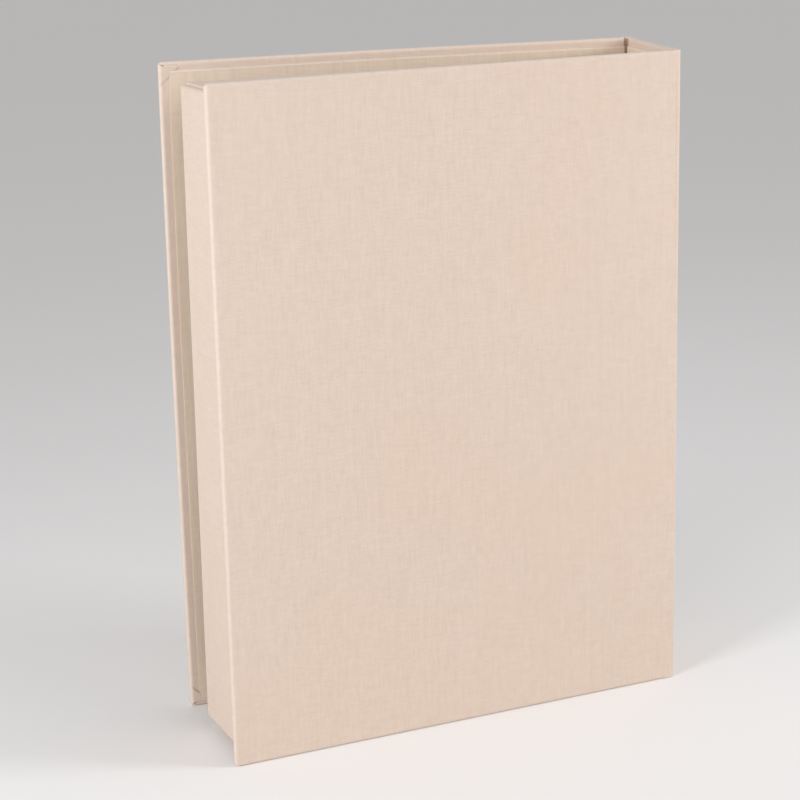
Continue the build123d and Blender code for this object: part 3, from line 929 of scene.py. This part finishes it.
cores = {"base_board": baseCore, "lid_board": lidCore, "spine_board": spineCore, **trayBoards}
for nodeName, piece in cores.items():
    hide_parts(nodeName)
print("pieces declared:", len(sheets) + len(cores))


stageLook = {"radius": 7.0, "firstRing": 0.02, "rings": 24, "spokes": 96,
             "floor": "#F6F5F4", "shade": "#ECEAE9", "shadeShare": 0.1, "shadeSize": 333.3, "roughness": 0.7}


def makeFloor():
    # a flat disc, radius growing with the square of the ring number
    ring = np.linspace(stageLook["firstRing"], 1, stageLook["rings"])[:, None] ** 2 * stageLook["radius"]
    angle = np.linspace(0, 2 * math.pi, stageLook["spokes"], endpoint=False)[None]
    points = np.stack([ring * np.cos(angle), ring * np.sin(angle), 0 * ring * angle], axis=-1)
    index = np.arange(points[..., 0].size).reshape(stageLook["rings"], -1)
    faces = gridFaces(np.concatenate([index, index[:, :1]], axis=1)).tolist()
    faces.append(index[0].tolist())
    material, tree = newMaterial("pale paper floor")
    place = addNode(tree, "ShaderNodeTexCoord").outputs["Object"]
    grain = addNode(tree, "ShaderNodeTexNoise", None,
                    {"Vector": place, "Scale": 1000 / stageLook["shadeSize"], "Detail": 2.0})
    share = addNode(tree, "ShaderNodeMath", {"operation": "MULTIPLY"},
                    {0: grain, 1: stageLook["shadeShare"]})
    pale = addNode(tree, "ShaderNodeMix", {"data_type": "RGBA"},
                   {0: share, 6: linear(stageLook["floor"]), 7: linear(stageLook["shade"])}).outputs[2]
    shader = addNode(tree, "ShaderNodeBsdfPrincipled", None,
                     {"Base Color": pale, "Roughness": stageLook["roughness"], "Specular IOR Level": 0.2})
    addNode(tree, "ShaderNodeOutputMaterial", None, {"Surface": shader})
    makeObject("floor", points, faces, material, False)


makeFloor()

cameraLook = {"place": (-0.41590, -0.86016, 0.41604), "yaw": -24.221, "pitch": -14.791,
              "roll": -1.326, "lens": 93.80, "sensor": 36, "farthest": 30}
yaw, pitch, roll = (math.radians(cameraLook[k]) for k in ("yaw", "pitch", "roll"))
forward = Vector((-math.sin(yaw) * math.cos(pitch), math.cos(yaw) * math.cos(pitch), math.sin(pitch)))
right = Vector((math.cos(yaw), math.sin(yaw), 0))
up = right.cross(forward)
sideways = right * math.cos(roll) + up * math.sin(roll)
upwards = up * math.cos(roll) - right * math.sin(roll)
camera = bpy.data.objects.new("camera", bpy.data.cameras.new("camera"))
camera.data.lens = cameraLook["lens"]
camera.data.sensor_width = cameraLook["sensor"]
camera.data.clip_end = cameraLook["farthest"]
camera.matrix_world = Matrix((
    (sideways.x, upwards.x, -forward.x, cameraLook["place"][0]),
    (sideways.y, upwards.y, -forward.y, cameraLook["place"][1]),
    (sideways.z, upwards.z, -forward.z, cameraLook["place"][2]),
    (0, 0, 0, 1)))
bpy.context.scene.collection.objects.link(camera)
bpy.context.scene.camera = camera

# two soft boxes a little above the box, a shade cooler than the room: one at the left and one
# at the right of the front
coolTint = (0.98, 1.0, 1.03)
softBoxes = {
    "left softbox": {"place": (-0.80, -0.32, 0.50), "aim": (-0.08, 0.0, 0.25), "side": 0.3, "watts": 3.9},
    "right softbox": {"place": (0.75, -0.45, 0.52), "aim": (0.10, 0.0, 0.25), "side": 0.3, "watts": 3.6},
}
for name, look in softBoxes.items():
    lamp = bpy.data.lights.new(name, "AREA")
    lamp.shape = "SQUARE"
    lamp.size = look["side"]
    lamp.energy = look["watts"]
    lamp.color = coolTint
    holder = bpy.data.objects.new(name, lamp)
    holder.location = look["place"]
    gaze = Vector(look["aim"]) - Vector(look["place"])
    holder.rotation_euler = gaze.to_track_quat("-Z", "Y").to_euler()
    bpy.context.scene.collection.objects.link(holder)

roomLook = {"colour": "#F4F3F3", "strength": 0.575}
world = bpy.data.worlds.new("pale room")
bpy.context.scene.world = world
world.use_nodes = True
world.node_tree.nodes.clear()
background = addNode(world.node_tree, "ShaderNodeBackground", None,
                     {"Color": linear(roomLook["colour"]), "Strength": roomLook["strength"]})
addNode(world.node_tree, "ShaderNodeOutputWorld", None, {"Surface": background})
bpy.context.scene.view_settings.view_transform = "Standard"
print("stage, camera and light set")
